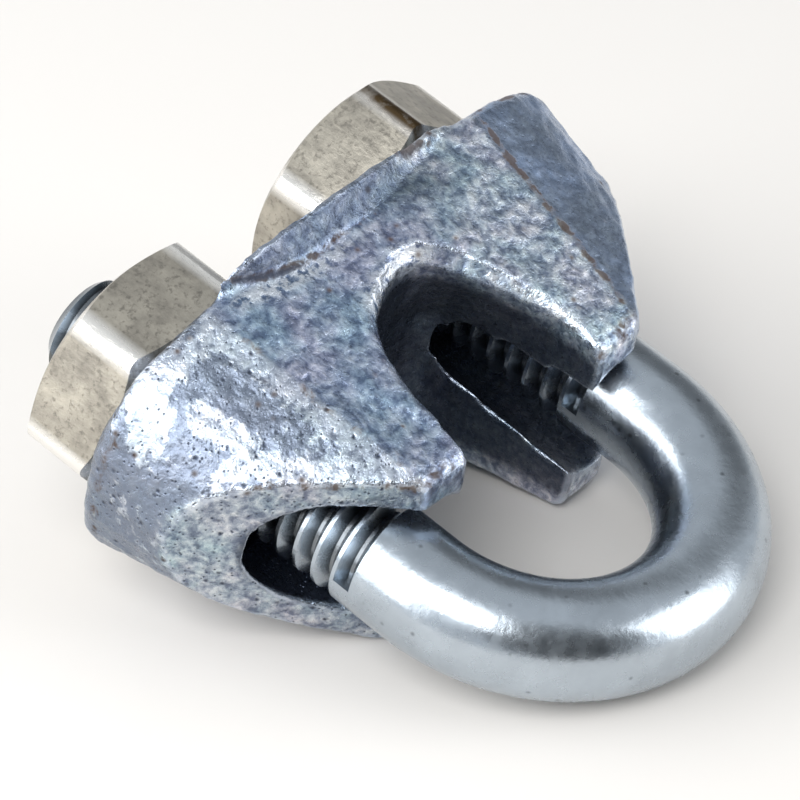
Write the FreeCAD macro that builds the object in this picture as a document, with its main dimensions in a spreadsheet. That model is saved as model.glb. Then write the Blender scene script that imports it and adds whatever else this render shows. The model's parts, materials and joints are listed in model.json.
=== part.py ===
import FreeCAD, Part

import math
import os

import Sketcher
from FreeCAD import Placement, Rotation, Vector

# Wire rope clip: a threaded U-bolt, a cast saddle with a rope seat, and two hexagon nuts.
#
# Every piece is drawn in the clip's own square frame, in millimetres:
#   X across the two legs, with the left leg at +X
#   Y along the rope
#   Z along the legs, with the nuts at the +Z end and the origin at the centre of the bow
# All pieces then share one placement, which lays the clip on its side the way it rests
# on a flat surface: on the underside of the bow and the edge of one of the saddle's lips.

SIZES = [
    ("rod_diameter", 6.35, "U-bolt: diameter of the round rod"),
    ("leg_spacing", 19.3, "U-bolt: distance between the leg axes"),
    ("leg_length", 24.1, "U-bolt: straight leg, from the bow's centre to its end"),
    ("leg_plain", 2.8, "U-bolt: plain part of each leg, from the bow's centre to the thread"),
    ("leg_chamfer", 0.75, "U-bolt: bevel at each leg's end"),
    ("thread_pitch", 1.27, "thread: pitch, 20 threads to the inch"),
    ("thread_angle", 60, "thread: angle between the flanks, degrees"),
    ("thread_root_flat", 0.2, "thread: width of the groove's floor"),
    ("thread_crest_flat", 0.216, "thread: width of the ridge left between two turns"),
    ("thread_play", 0.05, "thread: play between the leg and a nut, square to the flanks"),
    ("thread_crest_gap", 0.12, "thread: gap between a nut's ridges and the floor of the leg's groove"),
    ("thread_overcut", 0.1, "thread: how far a cutting section runs past the surface it cuts"),
    ("nut_flats", 12.7, "nut: width across flats"),
    ("nut_height", 5.1, "nut: height"),
    ("nut_face_inset", 0.6, "nut: how much smaller than the flats each round face is"),
    ("nut_bevel_slope", 30, "nut: slope of the bevels round each face, degrees"),
    ("nut_mouth_bevel", 0.75, "nut: bevel at each mouth of the bore"),
    ("nut_left_turn", 49.9, "nut: direction of the left nut's first corner, degrees"),
    ("nut_right_turn", 31.0, "nut: direction of the right nut's first corner, degrees"),
    ("nut_right_slack", 1.27, "nut: how far the right nut is backed off the saddle"),
    ("seat_level", 16.6, "saddle: height of its nut face over the bow's centre"),
    ("saddle_height", 15.1, "saddle: from its nut face to the prong tips"),
    ("base_width", 16.6, "saddle: width of the nut face along the rope"),
    ("base_straight", 21.2, "saddle: length of the nut face's straight sides"),
    ("base_end_width", 13.6, "saddle: width of the nut face's rounded ends"),
    ("base_left_reach", 18.0, "saddle: middle to the left end, nut face"),
    ("base_left_bulge", 2.4, "saddle: how far the left end is rounded out, nut face"),
    ("base_right_reach", 19.2, "saddle: middle to the right end, nut face"),
    ("base_right_bulge", 2.6, "saddle: how far the right end is rounded out, nut face"),
    ("tip_width", 12.4, "saddle: width along the rope at the level of the prong tips"),
    ("tip_straight", 18.2, "saddle: length of the straight sides, tips' level"),
    ("tip_left_end_width", 1.0, "saddle: width of the left end, tips' level"),
    ("tip_left_reach", 17.7, "saddle: middle to the left end, tips' level"),
    ("tip_left_bulge", 0.2, "saddle: how far the left end is rounded out, tips' level"),
    ("tip_right_end_width", 5.0, "saddle: width of the right end, tips' level"),
    ("tip_right_reach", 18.4, "saddle: middle to the right end, tips' level"),
    ("tip_right_bulge", 0.9, "saddle: how far the right end is rounded out, tips' level"),
    ("prong_span", 18.1, "saddle: distance over the prong tips"),
    ("end_slope", 43.5, "saddle: lean of the sloped ends from the leg direction, degrees"),
    ("seat_width", 11.2, "saddle: width of the rope groove"),
    ("seat_wall", 4.6, "saddle: thickness between the rope groove and the nut face"),
    ("hole_play", 1.35, "saddle: how much wider than the rod each leg hole is"),
    ("hole_stretch", 2.3, "saddle: how much longer than wide each leg hole is"),
    ("lip_ledge", 1.8, "saddle: how far each lip stands out past the nut face's side"),
    ("lip_length", 19.8, "saddle: length of each lip"),
    ("lip_thickness", 1.6, "saddle: thickness of each lip"),
    ("lip_root", 2.0, "saddle: how far each lip runs into the block"),
    ("mouth_round", 1.0, "saddle: rounding of the rope groove's mouths"),
    ("overrun", 1.0, "saddle: how far a cut outline runs past the block"),
]

LEFT = 1
RIGHT = -1

LEAST_CHANGE = 0.01  # cubic millimetres that every feature has to add or remove

ROD_RADIUS = "(Sizes.rod_diameter / 2)"
FLANK = "tan(Sizes.thread_angle * 0.5 deg)"
THREAD_FLATS = "(Sizes.thread_root_flat + Sizes.thread_crest_flat)"
THREAD_DEPTH = f"((Sizes.thread_pitch - {THREAD_FLATS}) / (2 * {FLANK}))"
ROOT_RADIUS = f"({ROD_RADIUS} - {THREAD_DEPTH})"
TIP_LEVEL = "(Sizes.seat_level - Sizes.saddle_height)"


def make_sheet(doc):
    """The driving dimensions, one row each: name, value, meaning."""
    sheet = doc.addObject("Spreadsheet::Sheet", "Sizes")
    for row, (alias, value, meaning) in enumerate(SIZES, start=1):
        sheet.set(f"A{row}", alias)
        sheet.set(f"B{row}", str(value))
        sheet.set(f"C{row}", meaning)
        sheet.setAlias(f"B{row}", alias)
    doc.recompute()
    return sheet


def new_body(doc, label):
    body = doc.addObject("PartDesign::Body", label.title().replace("_", ""))
    body.Label = label
    return body


def new_sketch(body, name, role, **offset):
    """A sketch on one of the body's origin planes, moved off it by x, y and z expressions."""
    sketch = body.newObject("Sketcher::SketchObject", body.Name + name)
    plane = next(f for f in body.Origin.OriginFeatures if f.Role == role)
    sketch.AttachmentSupport = [(plane, "")]
    sketch.MapMode = "FlatFace"
    for axis, expression in offset.items():
        sketch.setExpression(f"AttachmentOffset.Base.{axis}", expression)
    return sketch


def constrain(sketch, *terms, size=None):
    """Add one constraint, and tie it to the sheet when a size expression is given."""
    index = sketch.addConstraint(Sketcher.Constraint(*terms))
    if size:
        sketch.setExpression(f"Constraints[{index}]", size)


def draw_outline(sketch, corners, arcs=None, lead=225):
    """A closed outline whose corners are pairs of expressions, given anticlockwise.

    arcs names the radius of each side that bulges outwards. The outline starts as a
    rough ring, its first corner in the lead direction, and its dimensions then pull
    it into shape.
    """
    arcs = arcs or {}
    first = len(sketch.Geometry)
    count = len(corners)
    ring = []
    for step in range(2 * count + 1):
        angle = math.radians(lead + 180 * step / count)
        ring.append(Vector(10 * math.cos(angle), 10 * math.sin(angle), 0))
    for side in range(count):
        start, middle, end = ring[2 * side : 2 * side + 3]
        if side in arcs:
            sketch.addGeometry(Part.Arc(start, middle, end))
        else:
            sketch.addGeometry(Part.LineSegment(start, end))
    for side, (x, y) in enumerate(corners):
        constrain(sketch, "Coincident", first + side, 2, first + (side + 1) % count, 1)
        constrain(sketch, "DistanceX", -1, 1, first + side, 1, ring[2 * side].x, size=x)
        constrain(sketch, "DistanceY", -1, 1, first + side, 1, ring[2 * side].y, size=y)
    for side, radius in arcs.items():
        constrain(sketch, "Radius", first + side, 10, size=radius)


def add_feature(doc, body, kind, name, **settings):
    """Add one feature. Text that starts with '=' ties a setting to the sheet.

    A feature that neither adds nor removes anything stops the build.
    """
    before = body.Tip.Shape.Volume if body.Tip else 0
    feature = body.newObject(f"PartDesign::{kind}", body.Name + name)
    for setting, value in settings.items():
        if isinstance(value, str) and value.startswith("="):
            feature.setExpression(setting, value[1:])
        else:
            setattr(feature, setting, value)
    doc.recompute()
    change = feature.Shape.Volume - before
    print(f"{feature.Name}: {change:+.1f} mm3")
    if abs(change) < LEAST_CHANGE:
        raise RuntimeError(f"{feature.Name} changed nothing")


def dress_edges(doc, body, kind, name, wanted, **settings):
    """A chamfer or fillet on the edges whose bounding box passes a test."""
    base = body.Tip
    edges = [f"Edge{n}" for n, edge in enumerate(base.Shape.Edges, start=1) if wanted(edge.BoundBox)]
    add_feature(doc, body, kind, name, Base=(base, edges), **settings)


def revolve_cut(doc, body, name, section):
    """Turn the section once about its sketch's own upright axis and remove it."""
    axis = (section, ["V_Axis"])
    add_feature(doc, body, "Groove", name, Profile=section, ReferenceAxis=axis, Angle=360)


def cut_thread(doc, body, name, section, height):
    """Cut a right-handed thread with the section, about its sketch's own upright axis."""
    add_feature(
        doc,
        body,
        "SubtractiveHelix",
        name,
        Profile=section,
        ReferenceAxis=(section, ["V_Axis"]),
        Mode=0,
        Pitch="=Sizes.thread_pitch",
        Height=f"={height}",
    )


def make_u_bolt(doc, sheet):
    """Round rod bent into a U, both legs threaded from their ends."""
    body = new_body(doc, "u_bolt")
    leg_x = sheet.leg_spacing / 2
    path = new_sketch(body, "Path", "XZ_Plane")
    path.addGeometry(Part.LineSegment(Vector(leg_x, sheet.leg_length, 0), Vector(leg_x, 0, 0)))
    bow = Part.Circle(Vector(0, 0, 0), Vector(0, 0, 1), leg_x)
    path.addGeometry(Part.ArcOfCircle(bow, math.pi, 2 * math.pi))
    path.addGeometry(Part.LineSegment(Vector(-leg_x, 0, 0), Vector(-leg_x, sheet.leg_length, 0)))
    constrain(path, "Coincident", 1, 3, -1, 1)
    constrain(path, "Tangent", 0, 2, 1, 2)
    constrain(path, "Tangent", 1, 1, 2, 1)
    constrain(path, "Vertical", 0)
    constrain(path, "Equal", 0, 2)
    constrain(path, "DistanceX", 2, 2, 0, 1, sheet.leg_spacing, size="Sizes.leg_spacing")
    constrain(path, "DistanceY", -1, 1, 0, 1, sheet.leg_length, size="Sizes.leg_length")

    section = new_sketch(body, "Section", "XY_Plane", x="Sizes.leg_spacing / 2", z="Sizes.leg_length")
    section.addGeometry(Part.Circle(Vector(0, 0, 0), Vector(0, 0, 1), sheet.rod_diameter / 2))
    constrain(section, "Coincident", 0, 3, -1, 1)
    constrain(section, "Diameter", 0, sheet.rod_diameter, size="Sizes.rod_diameter")
    spine = (path, ["Edge1", "Edge2", "Edge3"])
    add_feature(doc, body, "AdditivePipe", "Rod", Profile=section, Spine=spine)

    near_end = sheet.leg_length - sheet.leg_chamfer
    size = "=Sizes.leg_chamfer"
    dress_edges(doc, body, "Chamfer", "Ends", lambda box: box.ZMin > near_end, Size=size)

    outer = f"({ROD_RADIUS} + Sizes.thread_overcut)"
    narrow = "(Sizes.thread_root_flat / 2)"
    wide = f"({narrow} + ({outer} - {ROOT_RADIUS}) * {FLANK})"
    corners = [
        (ROOT_RADIUS, f"-{narrow}"),
        (outer, f"-{wide}"),
        (outer, wide),
        (ROOT_RADIUS, narrow),
    ]
    height = "Sizes.leg_length - Sizes.leg_plain + Sizes.thread_pitch"
    for name, side in (("Left", LEFT), ("Right", RIGHT)):
        x = f"{side} * Sizes.leg_spacing / 2"
        groove = new_sketch(body, f"Groove{name}", "XZ_Plane", x=x, y="Sizes.leg_plain")
        draw_outline(groove, corners)
        cut_thread(doc, body, f"Thread{name}", groove, height)
    return body


def make_nut(doc, sheet, label, side, turn, seat):
    """Hexagon nut, both faces bevelled, its thread in step with the leg's."""
    body = new_body(doc, label)
    axis_x = f"{side} * Sizes.leg_spacing / 2"
    corner_radius = "(Sizes.nut_flats / sqrt(3))"
    top = "Sizes.nut_height"

    hexagon = new_sketch(body, "Hexagon", "XY_Plane", x=axis_x, z=seat)
    corners = []
    for step in range(6):
        angle = f"((Sizes.{turn} + {60 * step}) * 1 deg)"
        corners.append((f"{corner_radius} * cos{angle}", f"{corner_radius} * sin{angle}"))
    draw_outline(hexagon, corners, lead=sheet.get(turn))
    add_feature(doc, body, "Pad", "Blank", Profile=hexagon, Length=f"={top}")

    bevels = new_sketch(body, "BevelSection", "XZ_Plane", x=axis_x, y=seat)
    face = "((Sizes.nut_flats - Sizes.nut_face_inset) / 2)"
    outside = f"({corner_radius} + Sizes.thread_overcut)"
    drop = f"(({outside} - {face}) * tan(Sizes.nut_bevel_slope * 1 deg))"
    draw_outline(bevels, [(face, "0"), (outside, "0"), (outside, drop)])
    draw_outline(bevels, [(face, top), (outside, f"{top} - {drop}"), (outside, top)])
    revolve_cut(doc, body, "Bevels", bevels)

    bore = new_sketch(body, "BoreSection", "XZ_Plane", x=axis_x, y=seat)
    bore_radius = f"({ROOT_RADIUS} + Sizes.thread_crest_gap)"
    mouth = "Sizes.nut_mouth_bevel"
    corners = [
        ("0", "0"),
        (f"{bore_radius} + {mouth}", "0"),
        (bore_radius, mouth),
        (bore_radius, f"{top} - {mouth}"),
        (f"{bore_radius} + {mouth}", top),
        ("0", top),
    ]
    draw_outline(bore, corners)
    revolve_cut(doc, body, "Bore", bore)

    turns_below = f"floor(({seat} - Sizes.leg_plain) / Sizes.thread_pitch)"
    first_ridge = f"Sizes.leg_plain + Sizes.thread_pitch * ({turns_below} - 0.5)"
    groove = new_sketch(body, "ThreadSection", "XZ_Plane", x=axis_x, y=first_ridge)
    inner = f"({bore_radius} - Sizes.thread_overcut)"
    outer = f"({ROD_RADIUS} + Sizes.thread_play)"
    play = "Sizes.thread_play / cos(Sizes.thread_angle * 0.5 deg)"
    half_ridge = f"((Sizes.thread_pitch - Sizes.thread_root_flat) / 2 + {play})"
    narrow = f"({half_ridge} - ({outer} - {ROOT_RADIUS}) * {FLANK})"
    wide = f"({half_ridge} - ({inner} - {ROOT_RADIUS}) * {FLANK})"
    corners = [
        (inner, f"-{wide}"),
        (outer, f"-{narrow}"),
        (outer, narrow),
        (inner, wide),
    ]
    draw_outline(groove, corners)
    cut_thread(doc, body, "Thread", groove, f"{top} + 3 * Sizes.thread_pitch")
    return body


def end_radius(start, reach, width):
    """Radius of the arc that closes an end of the saddle's outline."""
    bulge = f"({reach} - {start})"
    return f"(({width} / 2) ^ 2 + {bulge} ^ 2) / (2 * {bulge})"


def draw_saddle_level(sketch, level, left_width, right_width):
    """Long outline with straight sides, bevelled corners and rounded ends."""
    straight = f"Sizes.{level}_straight / 2"
    width = f"Sizes.{level}_width / 2"
    left_reach = f"Sizes.{level}_left_reach"
    right_reach = f"Sizes.{level}_right_reach"
    left_start = f"({left_reach} - Sizes.{level}_left_bulge)"
    right_start = f"({right_reach} - Sizes.{level}_right_bulge)"
    corners = [
        (straight, f"-{width}"),
        (left_start, f"-{left_width} / 2"),
        (left_start, f"{left_width} / 2"),
        (straight, width),
        (f"-{straight}", width),
        (f"-{right_start}", f"{right_width} / 2"),
        (f"-{right_start}", f"-{right_width} / 2"),
        (f"-{straight}", f"-{width}"),
    ]
    arcs = {
        1: end_radius(left_start, left_reach, left_width),
        5: end_radius(right_start, right_reach, right_width),
    }
    draw_outline(sketch, corners, arcs=arcs, lead=292.5)


def make_saddle(doc, sheet):
    """Cast block that tapers to four prongs, with a rope seat and a hole for each leg."""
    body = new_body(doc, "saddle")
    through = {"Type": "ThroughAll", "Midplane": True}

    base = new_sketch(body, "Base", "XY_Plane", z="Sizes.seat_level")
    draw_saddle_level(base, "base", "Sizes.base_end_width", "Sizes.base_end_width")
    tips = new_sketch(body, "Tips", "XY_Plane", z=TIP_LEVEL)
    draw_saddle_level(tips, "tip", "Sizes.tip_left_end_width", "Sizes.tip_right_end_width")
    add_feature(doc, body, "AdditiveLoft", "Block", Profile=base, Sections=[tips], Ruled=True)

    lips = new_sketch(body, "LipSection", "XY_Plane", z="Sizes.seat_level")
    half = "Sizes.lip_length / 2"
    inner = "(Sizes.base_width / 2 - Sizes.lip_root)"
    outer = "(Sizes.base_width / 2 + Sizes.lip_ledge)"
    upper = [(f"-{half}", inner), (half, inner), (half, outer), (f"-{half}", outer)]
    lower = [(f"-{half}", f"-{outer}"), (half, f"-{outer}"), (half, f"-{inner}"), (f"-{half}", f"-{inner}")]
    draw_outline(lips, upper)
    draw_outline(lips, lower)
    add_feature(doc, body, "Pad", "Lips", Profile=lips, Length="=Sizes.lip_thickness", Reversed=True)

    ends = new_sketch(body, "EndSection", "XZ_Plane")
    tip = "Sizes.prong_span / 2"
    left = "(max(Sizes.base_left_reach; Sizes.tip_left_reach) + Sizes.overrun)"
    right = "(max(Sizes.base_right_reach; Sizes.tip_right_reach) + Sizes.overrun)"
    left_top = f"({TIP_LEVEL} + ({left} - {tip}) / tan(Sizes.end_slope * 1 deg))"
    right_top = f"({TIP_LEVEL} + ({right} - {tip}) / tan(Sizes.end_slope * 1 deg))"
    draw_outline(ends, [(tip, TIP_LEVEL), (left, TIP_LEVEL), (left, left_top)])
    draw_outline(ends, [(f"-{tip}", TIP_LEVEL), (f"-{right}", right_top), (f"-{right}", TIP_LEVEL)])
    add_feature(doc, body, "Pocket", "Ends", Profile=ends, **through)

    groove = new_sketch(body, "GrooveSection", "XZ_Plane")
    half = "Sizes.seat_width / 2"
    below = f"({TIP_LEVEL} - Sizes.overrun)"
    spring = f"(Sizes.seat_level - Sizes.seat_wall - {half})"
    corners = [(f"-{half}", below), (half, below), (half, spring), (f"-{half}", spring)]
    draw_outline(groove, corners, arcs={2: half})
    add_feature(doc, body, "Pocket", "RopeGroove", Profile=groove, **through)

    half = "((Sizes.rod_diameter + Sizes.hole_play) / 2)"
    straight = "Sizes.hole_stretch / 2"
    corners = [
        (f"-{straight}", f"-{half}"),
        (straight, f"-{half}"),
        (straight, half),
        (f"-{straight}", half),
    ]
    for name, side in (("Left", LEFT), ("Right", RIGHT)):
        x = f"{side} * Sizes.leg_spacing / 2"
        hole = new_sketch(body, f"Hole{name}Section", "XY_Plane", x=x, z="Sizes.seat_level")
        draw_outline(hole, corners, arcs={1: half, 3: half})
        add_feature(doc, body, "Pocket", f"Hole{name}", Profile=hole, **through)

    past_holes = (sheet.rod_diameter + sheet.hole_play) / 2
    past_groove = sheet.seat_width / 2 + sheet.mouth_round
    dress_edges(
        doc,
        body,
        "Fillet",
        "Mouths",
        lambda box: max(box.YMin, -box.YMax) > past_holes and max(-box.XMin, box.XMax) < past_groove,
        Radius="=Sizes.mouth_round",
    )
    return body


def lying_placement(sheet):
    """The clip at rest on a level surface: on its bow and the edge of one lip.

    The bow points to the front, the nuts to the back, the left leg lies at -X, and
    the origin is under the middle of the clip.
    """
    rod = sheet.rod_diameter / 2
    bow = sheet.leg_spacing / 2
    lip_edge = sheet.base_width / 2 + sheet.lip_ledge
    lip_level = sheet.seat_level - sheet.lip_thickness + bow
    lip_angle = math.atan2(lip_level, lip_edge)
    tilt = math.acos(rod / math.hypot(lip_level, lip_edge)) - lip_angle
    front = -math.cos(tilt) * bow - rod
    back = math.cos(tilt) * sheet.leg_length + math.sin(tilt) * (rod - sheet.leg_chamfer)
    across = (sheet.base_left_reach - sheet.base_right_reach) / 2
    offset = Vector(across, -(front + back) / 2, rod + math.sin(tilt) * bow)
    lean = Rotation(Vector(1, 0, 0), math.degrees(tilt) - 90)
    return Placement(offset, lean * Rotation(Vector(0, 0, 1), 180))


def check(doc, bodies):
    """Stop before anything is written if a feature failed or a piece isn't one sound solid."""
    for item in doc.Objects:
        if "Invalid" in item.State or "Error" in item.State:
            raise RuntimeError(f"{item.Name} failed: {item.State}")
    for body in bodies:
        shape = body.Shape
        if shape.isNull() or not shape.isValid() or len(shape.Solids) != 1:
            raise RuntimeError(f"{body.Label} is not one sound solid")


def main():
    doc = FreeCAD.newDocument("WireRopeClip")
    sheet = make_sheet(doc)
    left_seat = "Sizes.seat_level"
    right_seat = "(Sizes.seat_level + Sizes.nut_right_slack)"
    bodies = [
        make_u_bolt(doc, sheet),
        make_saddle(doc, sheet),
        make_nut(doc, sheet, "nut_left", LEFT, "nut_left_turn", left_seat),
        make_nut(doc, sheet, "nut_right", RIGHT, "nut_right_turn", right_seat),
    ]
    placement = lying_placement(sheet)
    for body in bodies:
        body.Placement = placement
    doc.recompute()
    check(doc, bodies)
    os.makedirs("parts", exist_ok=True)
    for body in bodies:
        body.Shape.exportStep(f"parts/{body.Label}.step")
        box = body.Shape.optimalBoundingBox()
        print(f"{body.Label}: {body.Shape.Volume:.1f} mm3, {box}")


main()
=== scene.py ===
import json
import math
from contextlib import contextmanager

import bpy
import numpy as np
from bpy.props import FloatProperty, FloatVectorProperty, IntProperty, PointerProperty
from mathutils import Matrix, Quaternion, Vector


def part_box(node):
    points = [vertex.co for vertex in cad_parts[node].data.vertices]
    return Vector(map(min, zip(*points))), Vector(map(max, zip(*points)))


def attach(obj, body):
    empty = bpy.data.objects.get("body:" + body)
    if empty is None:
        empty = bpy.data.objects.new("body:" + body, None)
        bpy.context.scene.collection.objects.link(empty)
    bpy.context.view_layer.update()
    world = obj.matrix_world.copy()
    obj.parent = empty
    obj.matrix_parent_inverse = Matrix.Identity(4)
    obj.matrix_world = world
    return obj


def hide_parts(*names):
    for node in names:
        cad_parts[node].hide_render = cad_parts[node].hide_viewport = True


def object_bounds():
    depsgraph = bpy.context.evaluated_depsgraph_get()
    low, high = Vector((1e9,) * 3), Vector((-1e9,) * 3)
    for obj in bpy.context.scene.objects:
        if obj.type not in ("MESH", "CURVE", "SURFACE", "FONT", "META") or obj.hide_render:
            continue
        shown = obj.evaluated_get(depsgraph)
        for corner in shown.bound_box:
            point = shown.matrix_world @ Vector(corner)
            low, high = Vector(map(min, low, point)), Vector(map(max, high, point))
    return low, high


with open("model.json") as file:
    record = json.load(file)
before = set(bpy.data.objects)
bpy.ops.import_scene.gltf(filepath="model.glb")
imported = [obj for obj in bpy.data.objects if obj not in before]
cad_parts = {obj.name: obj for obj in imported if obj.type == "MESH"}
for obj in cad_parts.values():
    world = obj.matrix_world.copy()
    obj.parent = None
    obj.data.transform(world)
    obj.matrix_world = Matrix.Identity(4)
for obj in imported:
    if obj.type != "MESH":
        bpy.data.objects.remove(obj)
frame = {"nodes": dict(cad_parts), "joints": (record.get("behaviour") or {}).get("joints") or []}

bl_info = {
    "name": "Wire Rope Clip",
    "version": (1, 0, 0),
    "blender": (4, 5, 0),
    "location": "View3D > Sidebar > Rope Clip",
    "description": "Builds and finishes a cast and zinc-plated wire rope clip",
    "category": "Object",
}

MM = 0.001

CAD_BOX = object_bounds()

# The clip's own square frame inside the row frame, read from the joints: X across the
# legs with the left leg at +X, Y along the rope, Z along the legs toward the nuts.
JOINTS = {joint["name"]: joint for joint in frame["joints"]}
SEAT_LEFT = Vector(JOINTS["nut_left_spin"]["pos_m"])
SEAT_RIGHT = Vector(JOINTS["nut_right_spin"]["pos_m"])
ALONG_LEGS = -Vector(JOINTS["saddle_slide"]["axis"])
ACROSS_LEGS = (SEAT_LEFT - SEAT_RIGHT).normalized()
ALONG_ROPE = ALONG_LEGS.cross(ACROSS_LEGS)
LEG_SPACING = (SEAT_LEFT - SEAT_RIGHT).length / MM


def number(name, default, description, unit="NONE"):
    return FloatProperty(name=name, default=default, unit=unit, description=description)


def length(name, default, description):
    return FloatProperty(name=name, default=default, min=0.0, description=f"{description}, mm")


def angle(name, degrees, description):
    return FloatProperty(name=name, default=math.radians(degrees), subtype="ANGLE", description=description)


def rounds(name, default, description):
    return IntProperty(name=name, default=default, min=0, description=description)


def roughness(default, description):
    return FloatProperty(
        name="Roughness", default=default, min=0.0, max=1.0, subtype="FACTOR", description=description
    )


def colour(name, default, description):
    return FloatVectorProperty(
        name=name, subtype="COLOR", size=3, min=0.0, max=1.0, default=default, description=description
    )


class CastingSettings(bpy.types.PropertyGroup):
    """Sizes in millimetres and colours of the saddle casting."""

    seat_level: length("Nut Face Level", 16.6, "Height of the nut face over the bow's centre")
    tip_level: length("Prong Tip Level", 1.5, "Height of the prong tips over the bow's centre")
    base_straight: length("Nut Face Straight", 21.4, "Straight part of the nut face's long sides")
    base_width: length("Nut Face Width", 16.6, "Width of the nut face at its left end")
    base_swelling: length("Right End Swelling", 1.5, "How much fuller the right end's corners are")
    base_left_reach: length("Left Reach", 18.0, "Middle to the left end at the nut face")
    base_right_reach: length("Right Reach", 19.15, "Middle to the right end at the nut face")
    tip_straight: length("Tip Straight", 18.2, "Straight part of the long sides at the prong tips")
    tip_width: length("Tip Width", 12.4, "Width of the casting at the prong tips")
    tip_left_reach: length("Left Tip Reach", 17.7, "Middle to the left end, tips' level")
    tip_right_reach: length("Right Tip Reach", 18.3, "Middle to the right end, tips' level")
    prong_span: length("Prong Span", 18.1, "Distance over the prong tips")
    end_slope: angle("End Slope", 43.5, "Lean of the sloped ends from the leg direction")
    rim_round: length("Rim Rounding", 1.2, "Rounding round the nut face")
    tip_round: length("Tip Rounding", 0.9, "Rounding round the prong tips")
    back_tip_drop: length("Back Tip Drop", 0.7, "How much longer the back prongs are")
    right_slope_skew: number("Right Slope Skew", 0.06, "Lean of the right slope toward the back, mm per mm")
    groove_width: length("Rope Groove Width", 10.6, "Width of the rope groove")
    groove_wall: length("Rope Groove Wall", 4.5, "Metal between the rope groove and the nut face")
    mouth_round: length("Groove Mouth Rounding", 0.6, "Rounding of the rope groove's mouths")
    hole_width: length("Leg Hole Width", 7.0, "Width of each leg hole at the groove's top")
    hole_draft: angle("Leg Hole Draft", 2.4, "How much each leg hole opens toward the prong tips")
    hole_stretch: length("Leg Hole Stretch", 2.9, "How much longer than wide each leg hole is")
    lip_length: length("Lip Length", 18.6, "Length of the lip along each long edge")
    lip_ledge: length("Lip Ledge", 1.75, "How far each lip stands out")
    lip_foot: length("Lip Foot", 0.5, "How far the front lip's sloped face stands out at its foot")
    lip_edge: length("Lip Edge", 0.35, "Upright part of the lips' outer edge")
    lip_thickness: length("Lip Thickness", 1.65, "Thickness of each lip")
    lip_root: length("Lip Root", 2.0, "How far each lip runs into the block")
    grain: length("Skin Grain", 0.2, "Size of the mesh cells of the cast skin")
    softening: rounds("Edge Softening", 6, "Rounds of smoothing that soften all edges")
    tip_wear: rounds("Tip Wear", 9, "More rounds of smoothing on the prong tips")
    worn_height: length("Worn Height", 2.4, "How far up from the prong tips that smoothing goes")
    rim_wear: rounds("Rim Wear", 12, "More rounds of smoothing inside the groove and holes")
    swell: length("Skin Swell", 0.2, "Height of the broad swells of the cast skin")
    lumps: length("Skin Lumps", 0.14, "Height of the lumps of the cast skin")
    zinc: colour("Zinc", (0.36, 0.425, 0.55), "Colour of the zinc on the casting")
    dull: colour("Dull Zinc", (0.16, 0.20, 0.30), "Colour of the zinc in the hollows")
    # Also the colour of the painted highlights on the ridges and on the left end's side.
    bright: colour("Bright Zinc", (0.66, 0.73, 0.84), "Colour of the polished high spots")
    # Colour of the painted highlight round the groove's mouth and under the front lip.
    painted_glint: colour("Shine", (0.90, 0.93, 0.97), "Colour of the bare metal round the groove's mouth")
    end_zinc: colour("Right End Zinc", (0.36, 0.47, 0.66), "Bluer zinc on the smooth right end")
    rust: colour("Rust", (0.06, 0.031, 0.010), "Colour of the rust along the ridges")


class RodSettings(bpy.types.PropertyGroup):
    """Colours of the U-bolt, and where its threads are darkened toward their roots."""

    zinc: colour("Zinc", (0.50, 0.56, 0.62), "Colour of the plated rod")
    gloss: roughness(0.24, "Roughness of the rod")
    # Colour that darkens the threads toward their roots, where that darkening ends, and where it is
    # strongest.
    root_tone: colour("Grime", (0.10, 0.105, 0.11), "Colour of the dirt in the threads")
    plain_radius: length("Clean Radius", 3.05, "Distance from a leg's middle where that dirt ends")
    root_radius: length("Root Radius", 2.45, "Distance from a leg's middle where it is thickest")


class NutSettings(bpy.types.PropertyGroup):
    """Sizes in millimetres and colours of the nuts."""

    flats: length("Width Across Flats", 12.7, "Width across flats")
    height: length("Height", 5.1, "Height of each nut")
    left_turn: angle("Left Nut Turn", 49.9, "Direction of the left nut's first corner")
    right_turn: angle("Right Nut Turn", 31.0, "Direction of the right nut's first corner")
    right_dirt: angle("Right Nut Dirt", 91.0, "Direction of the right nut's dirty corner")
    slack: length("Right Nut Slack", 1.27, "How far the right nut is backed off the saddle")
    corner_round: length("Corner Rounding", 0.95, "Radius of the six upright corners")
    edge_round: length("Edge Rounding", 0.16, "Rounding of the other outer edges")
    edge_band: length("Edge Band", 1.0, "How far in from the flats edges are rounded")
    zinc: colour("Zinc", (0.49, 0.455, 0.385), "Colour of the plated nuts")
    dull: colour("Dull Zinc", (0.27, 0.25, 0.215), "Colour of the dull patches")
    # Colour of the painted highlight along the upright corners.
    corner_glint: colour("Worn Zinc", (0.92, 0.90, 0.86), "Colour of the rubbed corners")
    dark_mark: colour("Dirt", (0.10, 0.065, 0.03), "Colour of the dirt on one corner")
    gloss: roughness(0.36, "Roughness of the nuts")


class StageSettings(bpy.types.PropertyGroup):
    """Floor, lights and camera."""

    floor: colour("Floor", (0.70, 0.675, 0.645), "Colour of the floor")
    floor_size: number("Floor Size", 3.0, "Width of the floor", "LENGTH")
    sky: colour("Room Light", (0.92, 0.96, 1.0), "Colour of the light from the whole room")
    sky_strength: number("Room Light Strength", 0.70, "Strength of that light")
    lens: number("Lens", 202.5, "Focal length of the camera", "CAMERA")


# ---- modelling helpers


def pick_only(*pieces):
    bpy.ops.object.select_all(action="DESELECT")
    for piece in pieces:
        piece.select_set(True)
    bpy.context.view_layer.objects.active = pieces[0]


def start(name, kind, **shape):
    """Add one primitive with everything else deselected."""
    bpy.ops.object.select_all(action="DESELECT")
    getattr(bpy.ops.mesh, f"primitive_{kind}_add")(**shape)
    bpy.ops.object.transform_apply(location=True, rotation=True, scale=True)
    piece = bpy.context.view_layer.objects.active
    piece.name = name
    piece.data.name = name
    return piece


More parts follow.
